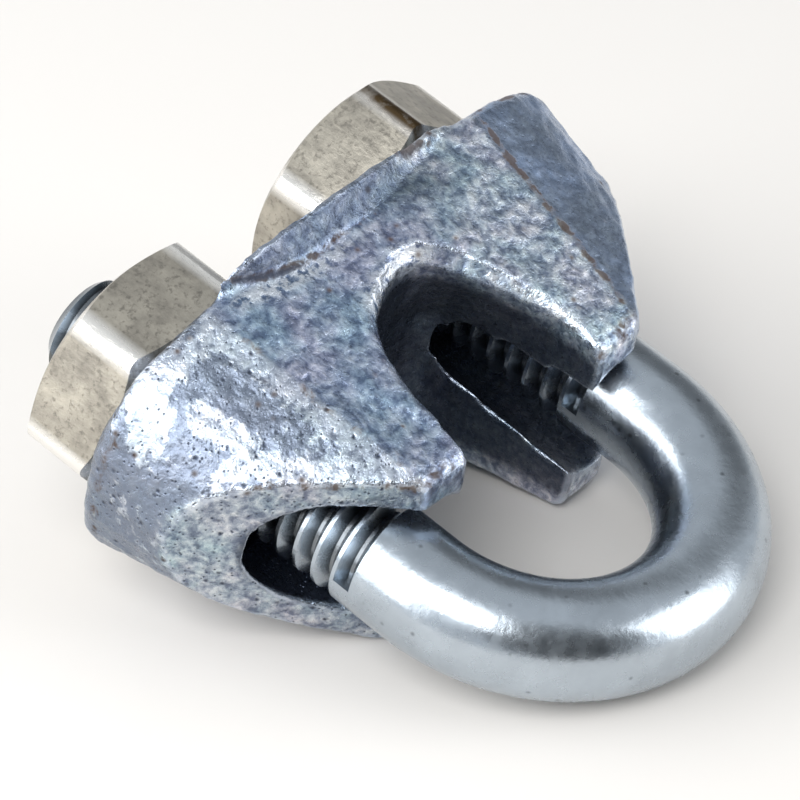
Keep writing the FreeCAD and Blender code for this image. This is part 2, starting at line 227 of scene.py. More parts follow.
@contextmanager
def editing():
    """Edit mode for the steps inside, and object mode after them."""
    bpy.ops.object.mode_set(mode="EDIT")
    yield
    bpy.ops.object.mode_set(mode="OBJECT")


def pick_vertices(piece, wanted):
    """Select only the vertices that pass a test."""
    with editing():
        bpy.ops.mesh.select_mode(type="VERT")
        bpy.ops.mesh.select_all(action="DESELECT")
    for vertex in piece.data.vertices:
        vertex.select = wanted(vertex.co)


def apply_modifier(piece, kind, **settings):
    pick_only(piece)
    modifier = piece.modifiers.new(kind.title(), kind)
    for setting, value in settings.items():
        setattr(modifier, setting, value)
    bpy.ops.object.modifier_apply(modifier=modifier.name)


def cut_away(piece, cutter, operation="DIFFERENCE"):
    """Take the cutter's shape out of the piece, or keep only what lies inside it."""
    apply_modifier(piece, "BOOLEAN", operation=operation, object=cutter, solver="EXACT")
    bpy.data.objects.remove(cutter, do_unlink=True)
    pick_only(piece)


def loft(name, sections):
    """A closed body through outlines of as many points each, extruded from one to the next."""
    piece = start(name, "circle", vertices=len(sections[0]), fill_type="NGON")
    for vertex, place in zip(piece.data.vertices, sections[0]):
        vertex.co = place
    for before, after in zip(sections, sections[1:]):
        ends = [Vector(place) for place in before]
        pick_vertices(piece, lambda co: min((co - end).length for end in ends) < 1e-4)
        with editing():
            bpy.ops.mesh.extrude_region()
        for vertex in [vertex for vertex in piece.data.vertices if vertex.select]:
            nearest = min(range(len(ends)), key=lambda index: (vertex.co - ends[index]).length)
            vertex.co = after[nearest]
    with editing():
        bpy.ops.mesh.select_all(action="SELECT")
        bpy.ops.mesh.normals_make_consistent(inside=False)
    return piece


def clip_to_row():
    """From the clip's own frame in millimetres to the row frame in metres."""
    middle = (SEAT_LEFT + SEAT_RIGHT) / 2
    origin = middle - ALONG_LEGS * scene_settings("clip_casting").seat_level * MM
    turn = Matrix((ACROSS_LEGS, ALONG_ROPE, ALONG_LEGS)).transposed().to_4x4()
    return Matrix.Translation(origin) @ turn @ Matrix.Scale(MM, 4)


def place_by(piece, matrix):
    piece.matrix_world = matrix
    pick_only(piece)
    bpy.ops.object.transform_apply(location=True, rotation=True, scale=True)


def lay_down(piece):
    """Bring a piece drawn in the clip's own frame to its place in the row."""
    place_by(piece, clip_to_row())


def store(piece, name, values):
    """Keep one number per vertex in the mesh, for its material to read."""
    piece.data.attributes.new(name, "FLOAT", "POINT").data.foreach_set("value", values)


def scene_settings(name):
    return getattr(bpy.context.scene, name)


# ---- materials


class Painter:
    """Adds nodes to one node tree. What it takes is another node's output or a plain value."""

    def __init__(self, tree):
        self.nodes = tree.nodes
        self.links = tree.links

    def feed(self, socket, value):
        """Lead an output into a socket, or set the socket's own value."""
        if isinstance(value, bpy.types.NodeSocket):
            self.links.new(value, socket)
        elif socket.type == "RGBA":
            socket.default_value = (*value, 1.0)
        else:
            socket.default_value = value

    def fill(self, node, **inputs):
        """Feed a node's inputs, by their names with spaces as underscores."""
        for name, value in inputs.items():
            self.feed(node.inputs[name.replace("_", " ")], value)
        return node

    def node(self, kind, **inputs):
        return self.fill(self.nodes.new(f"ShaderNode{kind}"), **inputs)

    def finish(self, **inputs):
        """Feed the shader that every new material starts with."""
        self.fill(self.nodes["Principled BSDF"], **inputs)

    def own_space(self):
        return self.node("TexCoord").outputs["Object"]

    def attribute(self, name):
        """The numbers that a piece stores under this name."""
        attribute = self.node("Attribute")
        attribute.attribute_name = name
        return attribute.outputs["Fac"]

    def noise(self, space, scale, detail=4.0, roughness=0.6, distortion=0.0):
        noise = self.node("TexNoise", Vector=space, Scale=scale, Detail=detail)
        self.fill(noise, Roughness=roughness, Distortion=distortion)
        return noise.outputs["Fac"]

    def ramp(self, value, *stops):
        """A colour ramp with stops of (position, colour) or (position, grey)."""
        ramp = self.node("ValToRGB", Fac=value)
        elements = ramp.color_ramp.elements
        for index, (position, shade) in enumerate(stops):
            stop = elements[index] if index < 2 else elements.new(position)
            stop.position = position
            stop.color = (*shade, 1.0) if hasattr(shade, "__len__") else (shade, shade, shade, 1.0)
        return ramp.outputs["Color"]

    def mix(self, amount, below, above, blend="MIX"):
        """Lay one colour over another by an amount, or multiply by it."""
        mix = self.node("Mix")
        mix.data_type = "RGBA"
        mix.blend_type = blend
        return self.fill(mix, Factor=amount, A=below, B=above).outputs["Result"]

    def maths(self, operation, first, second=0.0):
        node = self.node("Math")
        node.operation = operation
        self.feed(node.inputs[0], first)
        self.feed(node.inputs[1], second)
        return node.outputs["Value"]

    def plus(self, first, second):
        return self.maths("ADD", first, second)

    def minus(self, first, second):
        return self.maths("SUBTRACT", first, second)

    def times(self, first, second):
        return self.maths("MULTIPLY", first, second)

    def most(self, first, second):
        return self.maths("MAXIMUM", first, second)

    def cells(self, space, scale, density):
        """Round spots, one in some of the cells: 1 in a spot and 0 around it."""
        cells = self.node("TexVoronoi", Vector=space, Scale=scale)
        spot = self.ramp(cells.outputs["Distance"], (0.08, 1.0), (0.27, 0.0))
        split = self.node("SeparateColor", Color=cells.outputs["Color"])
        chosen = self.ramp(split.outputs["Red"], (density, 1.0), (density + 0.05, 0.0))
        return self.times(spot, chosen)

    def bump(self, height, strength, distance, normal=None):
        bump = self.node("Bump", Strength=strength, Distance=distance, Height=height)
        if normal:
            self.feed(bump.inputs["Normal"], normal)
        return bump.outputs["Normal"]


def new_material(name):
    """A new material and its painter."""
    material = bpy.data.materials.new(name)
    material.use_nodes = True
    return material, Painter(material.node_tree)


def darker(shade, share):
    return tuple(channel * share for channel in shade)


def skin_pits(paint, space, marks):
    """Pits of two sizes, deepest on the left end."""
    pits = paint.most(paint.cells(space, 3300.0, 0.6), paint.cells(space, 1500.0, 0.4))
    return paint.times(pits, paint.plus(paint.times(marks["left_end"], 0.7), 0.3))


def skin_rust(paint, space, marks):
    """Broken streaks along the stained lines, and a few spots anywhere."""
    patches = paint.noise(space, 900.0, 4.0, 0.7, 0.5)
    streak = paint.plus(paint.times(marks["stain"], 0.35), patches)
    streak = paint.ramp(streak, (0.66, 0.0), (0.82, 0.85))
    streak = paint.times(streak, paint.ramp(marks["stain"], (0.05, 0.0), (0.2, 1.0)))
    spots = paint.cells(space, 1000.0, 0.15)
    return paint.most(streak, paint.times(spots, 0.8))


def mottled_zinc(paint, settings, marks, broad, mottle):
    """The zinc's colour: smoother and bluer on the right end, warmer on the left one, and lightened on the
    right half as painted light.
    """
    zinc = paint.ramp(mottle, (0.37, settings.dull), (0.50, settings.zinc), (0.66, settings.bright))
    tint = paint.ramp(broad, (0.35, (0.82, 0.955, 0.98)), (0.65, (1.02, 0.955, 0.99)))
    zinc = paint.mix(1.0, zinc, tint, "MULTIPLY")
    smooth_end = paint.ramp(broad, (0.38, darker(settings.zinc, 0.85)), (0.62, settings.end_zinc))
    zinc = paint.mix(paint.times(marks["right_end"], 0.75), zinc, smooth_end)
    zinc = paint.mix(marks["left_end"], zinc, (1.04, 0.98, 0.86), "MULTIPLY")
    # Painted light: the right half is made lighter because it is lit less.
    return paint.mix(marks["lightened_right_half"], zinc, (1.38, 1.30, 1.16), "MULTIPLY")


def painted_glints(paint, settings, marks, zinc, patchy, mottle):
    """Painted highlights over the zinc: speckled on the left end's side with painted shade between them, on
    the ridges over edge wear, and round the groove's mouth.
    """
    # Painted highlights in speckles on the left end's side, with painted shade between them.
    lift = paint.plus(paint.times(patchy, 0.5), paint.times(marks["left_end_glint"], 0.2))
    glint_speckle = paint.ramp(paint.plus(lift, paint.times(mottle, 0.5)), (0.57, 0.0), (0.66, 1.0))
    side = paint.most(paint.minus(marks["left_end"], marks["left_slope"]), 0.0)
    speckle_shade = paint.times(paint.times(paint.minus(1.0, glint_speckle), side), 0.9)
    zinc = paint.mix(speckle_shade, zinc, darker(settings.zinc, 0.55))
    zinc = paint.mix(paint.times(glint_speckle, paint.times(side, 0.5)), zinc, settings.bright)
    # Edge wear and a painted highlight on the ridges.
    edge_wear_glint = paint.ramp(marks["ridge"], (0.35, 0.0), (0.7, 0.75))
    edge_wear_glint = paint.times(edge_wear_glint, paint.ramp(patchy, (0.38, 0.2), (0.58, 1.0)))
    zinc = paint.mix(edge_wear_glint, zinc, settings.bright)
    # Painted highlight round the groove's mouth and under the front lip.
    painted_glint = paint.times(paint.ramp(mottle, (0.41, 0.0), (0.50, 1.0)), marks["painted_glint"])
    return paint.mix(painted_glint, zinc, settings.painted_glint)


def cast_zinc():
    """Zinc on a rough casting: mottled blue grey, dark pits, rust along the ridges, painted highlights and
    painted shade.
    """
    settings = scene_settings("clip_casting")
    material, paint = new_material("cast_zinc")
    space = paint.own_space()
    marks = {name: paint.attribute(name) for name in SKIN_MARKS}
    ridge = marks["ridge"]
    broad = paint.noise(space, 300.0, 3.0, 0.55, 0.4)
    patchy = paint.noise(space, 360.0, 3.0, 0.55)
    mottle = paint.noise(space, 1700.0, 5.0, 0.62, 0.2)
    fine = paint.noise(space, 4600.0, 3.0, 0.6)
    pits = skin_pits(paint, space, marks)
    rusty = skin_rust(paint, space, marks)

    zinc = mottled_zinc(paint, settings, marks, broad, mottle)
    zinc = painted_glints(paint, settings, marks, zinc, patchy, mottle)
    zinc = paint.mix(pits, zinc, darker(settings.dull, 0.35))
    zinc = paint.mix(rusty, zinc, settings.rust)
    # Painted shade, lighter on the ridges: deep inside the groove and holes, on the lips and in the crease
    # under the front lip.
    painted_shade = paint.times(marks["inside"], paint.ramp(ridge, (0.3, 0.88), (0.7, 0.45)))
    zinc = paint.mix(painted_shade, zinc, darker(settings.dull, 0.3))

    metal = paint.ramp(rusty, (0.2, 0.95), (0.7, 0.0))
    gleam = paint.ramp(rusty, (0.2, 0.5), (0.7, 0.1))
    sheen = paint.ramp(fine, (0.3, 0.22), (0.7, 0.40))
    sheen = paint.minus(sheen, paint.ramp(ridge, (0.25, 0.0), (0.6, 0.16)))
    sheen = paint.plus(sheen, paint.times(rusty, 0.35))

    roughened = paint.minus(1.0, paint.times(marks["right_end"], 0.65))
    normal = paint.bump(paint.times(mottle, roughened), 1.0, 0.00013)
    normal = paint.bump(paint.times(fine, roughened), 0.7, 0.000022, normal)
    normal = paint.bump(paint.times(pits, -1.0), 0.9, 0.00005, normal)
    paint.finish(Base_Color=zinc, Metallic=metal, Roughness=sheen, Specular_IOR_Level=gleam, Normal=normal)
    return material


# Level over the bow's centre above which the threads are darkened toward their roots, in millimetres.
DARKEN_START = 1.0


def thread_root_darkening(paint, settings, space):
    """Darkest in the roots of the threads, and none on their crests or the bow."""
    place, turn, scale = clip_to_row().inverted().decompose()
    clip_space = paint.node("Mapping", Vector=space, Location=place, Rotation=turn.to_euler(), Scale=scale)
    parts = paint.node("SeparateXYZ", Vector=clip_space.outputs["Vector"])
    across = paint.minus(paint.maths("ABSOLUTE", parts.outputs["X"]), LEG_SPACING / 2)
    along = parts.outputs["Y"]
    radius = paint.maths("SQRT", paint.plus(paint.times(across, across), paint.times(along, along)))
    radius = paint.maths("DIVIDE", radius, settings.plain_radius)
    dark_mark = paint.ramp(radius, (settings.root_radius / settings.plain_radius, 0.75), (1.0, 0.0))
    on_leg = paint.maths("GREATER_THAN", parts.outputs["Z"], DARKEN_START)
    return paint.times(dark_mark, on_leg)


def plated_rod():
    """Smooth bluish zinc over drawn wire, with the threads darker toward their roots."""
    settings = scene_settings("clip_rod")
    material, paint = new_material("plated_rod")
    space = paint.own_space()
    cloud = paint.noise(space, 260.0, 5.0, 0.6, 0.4)
    tone = paint.ramp(cloud, (0.3, darker(settings.zinc, 0.78)), (0.7, settings.zinc))
    tone = paint.mix(paint.cells(space, 1500.0, 0.06), tone, darker(settings.zinc, 0.4))
    # The threads darkened toward their roots.
    tone = paint.mix(thread_root_darkening(paint, settings, space), tone, settings.root_tone)
    gloss = paint.noise(space, 800.0)
    gloss = paint.ramp(gloss, (0.3, settings.gloss * 0.85), (0.7, settings.gloss * 1.3))
    normal = paint.bump(paint.noise(space, 2600.0), 0.3, 0.00004)
    normal = paint.bump(paint.noise(space, 500.0, 3.0), 0.25, 0.0001, normal)
    paint.finish(Base_Color=tone, Metallic=1.0, Roughness=gloss, Normal=normal)
    return material


def plated_nut():
    """Warm satin zinc with a fine grain along the flats, a painted highlight on the corners and some dirt."""
    settings = scene_settings("clip_nut")
    material, paint = new_material("plated_nut")
    space = paint.own_space()
    lean = math.atan2(ALONG_LEGS.z, ALONG_LEGS.y)
    turned = paint.node("Mapping", Vector=space, Rotation=(-lean, 0, 0))
    drawn = paint.node("Mapping", Vector=turned.outputs["Vector"], Scale=(1.0, 0.4, 1.0))
    cloud = paint.noise(space, 420.0, 5.0, 0.65)
    grain = paint.noise(drawn.outputs["Vector"], 3600.0, 4.0, 0.7)
    speckle = paint.noise(space, 2600.0, 3.0, 0.7)
    corner_glint = paint.attribute("corner_glint")

    tone = paint.ramp(cloud, (0.38, settings.dull), (0.68, settings.zinc))
    tone = paint.mix(paint.ramp(grain, (0.4, 0.0), (0.75, 0.4)), tone, settings.zinc)
    tone = paint.mix(paint.ramp(speckle, (0.53, 0.0), (0.67, 0.7)), tone, darker(settings.dull, 0.6))
    # Painted highlight along the upright corners.
    tone = paint.mix(paint.times(corner_glint, 0.9), tone, settings.corner_glint)
    dark_mark = paint.times(paint.attribute("stain"), paint.ramp(cloud, (0.3, 0.5), (0.5, 1.0)))
    tone = paint.mix(dark_mark, tone, settings.dark_mark)
    gloss = paint.ramp(grain, (0.3, settings.gloss * 0.85), (0.7, settings.gloss * 1.25))
    gloss = paint.minus(gloss, paint.times(corner_glint, 0.16))
    normal = paint.bump(grain, 0.45, 0.00005)
    normal = paint.bump(speckle, 0.35, 0.00004, normal)
    paint.finish(Base_Color=tone, Metallic=0.85, Roughness=gloss, Normal=normal)
    return material


def dress(piece, material):
    piece.data.materials.clear()
    piece.data.materials.append(material)


def dress_node(node, material):
    for slot in frame["nodes"][node].material_slots:
        slot.material = material


# ---- the casting


# The ends' outlines, as curves from the long side's corner to the middle of
# the end: how far along toward the end's reach, and which share of the corner's depth.
BASE_LEFT_CURVE = ((0.0, 1.0), (0.60, 0.86), (1.03, 0.73), (1.0, 0.0))
BASE_RIGHT_CURVE = ((0.0, 1.0), (0.66, 0.96), (1.01, 0.84), (1.0, 0.0))
TIP_LEFT_CURVE = ((0.0, 1.0), (0.38, 0.81), (0.80, 0.54), (1.0, 0.0))
TIP_RIGHT_CURVE = ((0.0, 1.0), (0.40, 0.86), (0.86, 0.66), (1.0, 0.0))
CURVE_STEPS = 7

# The groove's outlines, left foot to right foot over the top: across as a share of half
# the groove's width, and height as a share of the groove's height over the tips. The
# mouths lean with the lay of the rope, so the back one is the front one turned round.
GROOVE_OUTLINE = (
    (1.08, -0.3), (1.05, 0.04), (1.0, 0.28), (0.95, 0.47), (0.87, 0.63), (0.73, 0.78),
    (0.52, 0.90), (0.24, 0.97), (-0.08, 1.0), (-0.40, 1.0), (-0.68, 0.97), (-0.86, 0.90),
    (-0.95, 0.78), (-0.98, 0.60), (-1.0, 0.35), (-1.04, 0.04), (-1.08, -0.3),
)
MOUTH_OUTLINE = (
    (1.08, -0.3), (1.05, 0.04), (1.0, 0.28), (0.95, 0.47), (0.87, 0.63), (0.73, 0.765),
    (0.52, 0.86), (0.26, 0.92), (-0.06, 0.965), (-0.25, 0.955), (-0.40, 0.895), (-0.55, 0.79),
    (-0.74, 0.61), (-0.92, 0.425), (-1.02, 0.27), (-1.06, 0.04), (-1.08, -0.3),
)

# How each lip thins out, left end first: place along half its length, and shares of its
# ledge and of its thickness.
LIP_TAPER = (
    (1.0, 0.15, 0.12), (0.9, 0.60, 0.30), (0.78, 0.82, 0.55), (0.64, 0.92, 0.80),
    (0.5, 1.0, 1.0), (-0.3, 1.0, 1.0), (-0.75, 0.95, 0.9), (-1.0, 0.6, 0.6),
)

# Where rust gathered, in millimetres in the clip's own frame: width and strength of the
# stain, and the points it runs through.
STAINS = (
    (0.2, 0.8, ((8.6, 8.8, 16.3), (7.3, 8.6, 15.7), (6.0, 8.6, 15.2), (4.6, 8.6, 14.9), (-3.0, 8.6, 14.9))),
    (0.5, 1.0, ((-7.0, 9.9, 16.5), (-5.6, 10.0, 16.4))),
    (0.25, 0.5, ((5.5, 10.1, 16.6), (-5.0, 10.1, 16.6))),
    (0.22, 0.95, ((-11.0, 9.5, 16.4), (-10.3, 8.6, 11.5), (-9.6, 7.2, 6.0), (-9.2, 6.5, 3.2))),
    (0.26, 0.5, ((10.6, 8.2, 15.2), (10.2, 7.6, 11.0), (9.7, 7.0, 6.5), (9.2, 6.3, 2.6))),
    (0.24, 0.7, ((15.0, 4.8, 8.0), (13.4, 5.1, 6.3), (11.4, 5.5, 4.1), (9.6, 5.9, 2.3))),
    (0.40, 0.6, ((9.2, 5.9, 2.2), (7.4, 6.0, 1.9), (6.0, 5.9, 1.8))),
    (0.40, 0.65, ((-9.2, 6.0, 2.4), (-7.4, 5.9, 2.0), (-5.8, 5.8, 1.9))),
    (0.30, 0.5, ((17.3, 4.4, 15.4), (17.9, 1.0, 15.2), (17.2, -4.4, 15.4))),
    (
        0.32,
        0.8,
        ((-10.8, 9.6, 16.3), (-13.6, 9.1, 16.2), (-15.8, 8.1, 16.0), (-18.2, 5.8, 15.7), (-18.8, 1.0, 15.5)),
    ),
)

# Drawn the same way: the painted shadow in the crease under the front lip, the painted highlights
# round the left end, and the painted glint round the groove's front mouth and under the lip.
CREASE_SHADOW = (
    (0.14, 1.0, ((8.4, 8.7, 16.2), (7.3, 8.6, 15.7), (6.0, 8.5, 15.2), (4.6, 8.4, 14.9), (-2.4, 8.4, 14.85))),
)
LEFT_END_GLINT = (
    (0.9, 1.0, ((10.8, 8.3, 15.4), (10.2, 7.6, 11.0), (9.8, 6.8, 6.0), (9.6, 6.2, 3.4))),
    (0.8, 1.0, ((12.0, 7.9, 15.9), (15.2, 6.6, 15.0), (17.0, 4.0, 13.6))),
    (0.8, 0.9, ((15.4, 4.4, 9.2), (13.6, 5.2, 7.2), (11.6, 5.7, 5.0), (10.0, 6.0, 3.4))),
    (0.7, 0.8, ((14.6, 6.0, 12.0), (14.2, 5.8, 10.2))),
)
GLINT_LINES = (
    (0.6, 1.0, ((2.9, 7.3, 11.2), (1.4, 7.4, 11.9), (-0.6, 7.5, 12.4), (-2.2, 7.5, 12.2))),
    (0.3, 0.8, ((-3.6, 7.2, 10.0), (-4.8, 7.0, 8.0), (-5.4, 6.7, 6.0), (-5.9, 6.3, 3.8))),
    (0.35, 0.7, ((9.0, 8.6, 15.4), (6.6, 8.2, 14.7), (3.0, 8.1, 14.3), (-2.0, 8.1, 14.4))),
)

# How far the underside of a lip drops toward its root, and how high its sloped face is at
# the least, both in millimetres.
LIP_UNDERCUT = 0.05
LIP_LEAST_SLOPE = 0.1

# The rope groove's mouths: how far the cutter stands out of them, how far up their slope
# is shifted, both in millimetres, and over which share of the half width their outline
# changes into the groove's.
MOUTH_OVERRUN = 4.0
MOUTH_SHIFT = 0.6
MOUTH_REACH = 0.8

# Lowest and highest level of the leg holes' cutters, in millimetres.
HOLE_ENDS = (-12.0, 24.0)

# What the skin's material reads from the mesh.
SKIN_MARKS = (
    "left_end", "right_end", "lightened_right_half", "left_slope", "stain", "left_end_glint", "painted_glint", "ridge", "inside",
)

# Where one kind of skin changes into the next: how far past the line named the change
# begins and ends, in millimetres.
END_CHANGE = (-0.2, 0.2)  # the ridge beside either end, outward
HALF_CHANGE = (0.0, 6.0)  # the middle, toward the right
SLOPE_CHANGE = (-0.45, -0.15)  # the left slope, outward
MOUTH_CHANGE = (0.5, 1.7)  # the groove's mouths, inward
HOLE_CHANGE = (0.35, 0.75)  # the wall of a leg hole, outward
LIP_CHANGE = (0.45, 0.7)  # the long edges, outward
LIP_FADE = (-9.0, -3.0)  # the middle, toward the left

# The lips get this share of the painted shade deep inside, and the groove's skin may reach
# this far past its width and its height, in millimetres.
LIP_SHADE = 0.85
GROOVE_MARGIN = (0.7, 0.5)

# Ridges: rounds of averaging, and the height that counts as a full ridge, in millimetres.
RIDGE_ROUNDS = 8
RIDGE_HEIGHT = 0.12

# Share of the cast skin's unevenness that is left out inside the groove and holes.
INSIDE_CALM = 0.8

# The two patterns of the cast skin: setting of its height, and size in millimetres.
SKIN_PATTERNS = (("swell", 2.6), ("lumps", 0.7))


def end_curve(curve, corner, depth, reach):
    """Points of one end's outline, from its corner at +Y round to the one at -Y."""
    points = []
    for step in range(CURVE_STEPS + 1):
        t = step / CURVE_STEPS
        weights = ((1 - t) ** 3, 3 * t * (1 - t) ** 2, 3 * t**2 * (1 - t), t**3)
        along = sum(weight * pull[0] for weight, pull in zip(weights, curve))
        out = sum(weight * pull[1] for weight, pull in zip(weights, curve))
        points.append((corner + (reach - corner) * along, depth * out))
    return points + [(x, -y) for x, y in reversed(points[:-1])]


def level_outline(corner, depths, reaches, curves):
    """Outline of the casting at one level, as (x, y): the left end, then the right end."""
    left = end_curve(curves[0], corner, depths[0], reaches[0])
    right = end_curve(curves[1], corner, depths[1], reaches[1])
    return left + [(-x, y) for x, y in reversed(right)]


def section(settings, base, tips, share, inset, level):
    """The block's outline at a level, a share of the way from the tips to the nut face."""
    half_width = (settings.tip_width + share * (settings.base_width - settings.tip_width)) / 2
    squeeze = (1 - inset / settings.base_left_reach, 1 - inset / half_width)
    places = []
    for (x, y), (tip_x, tip_y) in zip(base, tips):
        across = (tip_x + share * (x - tip_x)) * squeeze[0]
        along = (tip_y + share * (y - tip_y)) * squeeze[1]
        drop = settings.back_tip_drop * (1 - share) * (0.5 - along / settings.tip_width)
        places.append((across, along, level - drop))
    return places


def rounding(radius, angles):
    """A rounded edge's steps, as how far each lies from one face and from the other."""
    for step in angles:
        step = math.radians(step)
        yield radius * (1 - math.cos(step)), radius * (1 - math.sin(step))


def slope_end(block, settings, side, skew):
    """Cut one end to its slope, from the prong tips outward."""
    lean = math.cos(settings.end_slope)
    with editing():
        bpy.ops.mesh.select_all(action="SELECT")
        bpy.ops.mesh.bisect(
            plane_co=(side * settings.prong_span / 2, settings.tip_width / 2, settings.tip_level),
            plane_no=(side * lean, skew * lean, -math.sin(settings.end_slope)),
            use_fill=True,
            clear_outer=True,
        )


def cast_block(settings):
    """The tapered block from the nut face to the prong tips, its rims rounded."""
    base = level_outline(
        settings.base_straight / 2,
        (settings.base_width / 2, settings.base_width / 2 + settings.base_swelling),
        (settings.base_left_reach, settings.base_right_reach),
        (BASE_LEFT_CURVE, BASE_RIGHT_CURVE),
    )
    tips = level_outline(
        settings.tip_straight / 2,
        (settings.tip_width / 2, settings.tip_width / 2),
        (settings.tip_left_reach, settings.tip_right_reach),
        (TIP_LEFT_CURVE, TIP_RIGHT_CURVE),
    )
    height = settings.seat_level - settings.tip_level
    sections = []
    for drop, inset in rounding(settings.rim_round, (0, 22, 45, 67, 90)):
        sections.append(section(settings, base, tips, 1 - drop / height, inset, settings.seat_level - drop))
    for rise, inset in rounding(settings.tip_round, (90, 60, 30, 0)):
        sections.append(section(settings, base, tips, rise / height, inset, settings.tip_level + rise))
    block = loft("saddle_casting", sections)
    slope_end(block, settings, 1, 0.0)
    slope_end(block, settings, -1, settings.right_slope_skew)
    return block


def groove_cutter(settings):
    """The rope groove's body, flared at both mouths to round them."""
    half = settings.groove_width / 2
    height = settings.seat_level - settings.groove_wall - settings.tip_level
    middle = settings.tip_level + height * 0.5
    lean = (settings.base_width - settings.tip_width) / 2 / (settings.seat_level - settings.tip_level)
    face = (settings.base_width + settings.tip_width) / 4

    def ring(side, depth, spread, outline):
        grow = 1 + spread / half
        places = []
        for across, up in outline:
            z = middle + (settings.tip_level + up * height - middle) * grow
            y = side * (face + (z - middle - MOUTH_SHIFT) * lean - depth)
            places.append((across * half * grow, y, z))
        return places

    flare = [(-MOUTH_OVERRUN, settings.mouth_round), *rounding(settings.mouth_round, (0, 30, 60, 90))]
    back_mouth = [(-across, up) for across, up in reversed(MOUTH_OUTLINE)]
    rings = [ring(-1, depth, spread, back_mouth) for depth, spread in flare]
    rings.append(ring(-1, face * MOUTH_REACH, 0, GROOVE_OUTLINE))
    rings.append(ring(1, face * MOUTH_REACH, 0, GROOVE_OUTLINE))
    rings += [ring(1, depth, spread, MOUTH_OUTLINE) for depth, spread in reversed(flare)]
    return loft("groove_cutter", rings)


def hole_cutter(settings, side):
    """One leg hole: a drawn-out round hole that opens toward the prong tips."""
    middle = side * LEG_SPACING / 2
    level = settings.seat_level - settings.groove_wall
    bottom, top = HOLE_ENDS
    slope = math.tan(settings.hole_draft)
    cutter = start(
        "hole_cutter",
        "cone",
        vertices=64,
        radius1=settings.hole_width / 2 + (level - bottom) * slope,
        radius2=settings.hole_width / 2 - (top - level) * slope,
        depth=top - bottom,
        location=(middle, 0, (top + bottom) / 2),
    )
    for way in (1, -1):
        pick_vertices(cutter, lambda co: (co.x - middle) * way > 0.001)
        with editing():
            bpy.ops.transform.translate(value=(way * settings.hole_stretch / 2, 0, 0))
    return cutter


def make_lip(settings, side):
    """One lip along the nut face's long edge, thinning out toward both ends."""
    edge = settings.base_width / 2
    root = edge - settings.lip_root
    foot_reach = settings.lip_foot if side > 0 else settings.lip_ledge
    sections = []
    for along, ledge, depth in LIP_TAPER:
        outer = edge + ledge * settings.lip_ledge
        low = settings.seat_level - depth * settings.lip_thickness
        knee = max(settings.seat_level - settings.lip_edge, low + LIP_LEAST_SLOPE)
        profile = (
            (root, settings.seat_level),
            (outer, settings.seat_level),
            (outer, knee),
            (edge + ledge * foot_reach, low),
            (root, low - LIP_UNDERCUT),
        )
        sections.append([(along * settings.lip_length / 2, side * y, z) for y, z in profile])
    return loft("lip", sections)


def vertex_table(piece, kind="co"):
    """One triple of numbers for each vertex, its place unless another kind is named."""
    numbers = np.empty(len(piece.data.vertices) * 3)
    piece.data.vertices.foreach_get(kind, numbers)
    return numbers.reshape(-1, 3)


def convexity(piece):
    """How far each vertex stands out over the average of the metal round it, 0 to 1."""
    places = vertex_table(piece)
    ends = np.empty(len(piece.data.edges) * 2, dtype=np.int64)
    piece.data.edges.foreach_get("vertices", ends)
    first, second = ends.reshape(-1, 2).T
    size = len(places)
    count = np.bincount(first, minlength=size) + np.bincount(second, minlength=size)
    smooth = places.copy()
    for _ in range(RIDGE_ROUNDS):
        total = np.zeros_like(smooth)
        for axis in range(3):
            total[:, axis] = np.bincount(first, weights=smooth[second, axis], minlength=size)
            total[:, axis] += np.bincount(second, weights=smooth[first, axis], minlength=size)
        smooth = total / count[:, None]
    out = ((places - smooth) * vertex_table(piece, "normal")).sum(axis=1)
    return np.clip(out / RIDGE_HEIGHT, 0.0, 1.0)


def ramp_up(values, low, high):
    """0 below the low value, 1 above the high one, and an even change between them."""
    share = np.clip((values - low) / (high - low), 0.0, 1.0)
    return share * share * (3 - 2 * share)


def line_amounts(places, lines):
    """1 up to half a line's width from its middle, falling to 0 at 2.2 times the width."""
    amount = np.zeros(len(places))
    for width, strength, chain in lines:
        for begin, end in zip(chain, chain[1:]):
            begin, end = np.array(begin), np.array(end)
            run = end - begin
            along = np.clip((places - begin) @ run / (run @ run), 0.0, 1.0)
            gap = np.linalg.norm(places - begin - along[:, None] * run, axis=1)
            amount = np.maximum(amount, strength * (1 - ramp_up(gap, width * 0.5, width * 2.2)))
    return amount


def hidden_skin(places, share, settings):
    """1 deep inside the rope groove and the leg holes, falling to 0 outside them."""
    across, along, level = np.abs(places[:, 0]), np.abs(places[:, 1]), places[:, 2]
    depth = (settings.base_width + settings.tip_width) / 4 - along
    depth += (share - 0.5) * (settings.base_width - settings.tip_width) / 2
    in_groove = across < settings.groove_width / 2 + GROOVE_MARGIN[0]
    in_groove &= level < settings.seat_level - settings.groove_wall + GROOVE_MARGIN[1]
    beside = np.abs(across - LEG_SPACING / 2) - settings.hole_stretch / 2
    past_hole = np.hypot(np.maximum(beside, 0), along) - settings.hole_width / 2
    return np.maximum(ramp_up(depth, *MOUTH_CHANGE) * in_groove, 1 - ramp_up(past_hole, *HOLE_CHANGE))


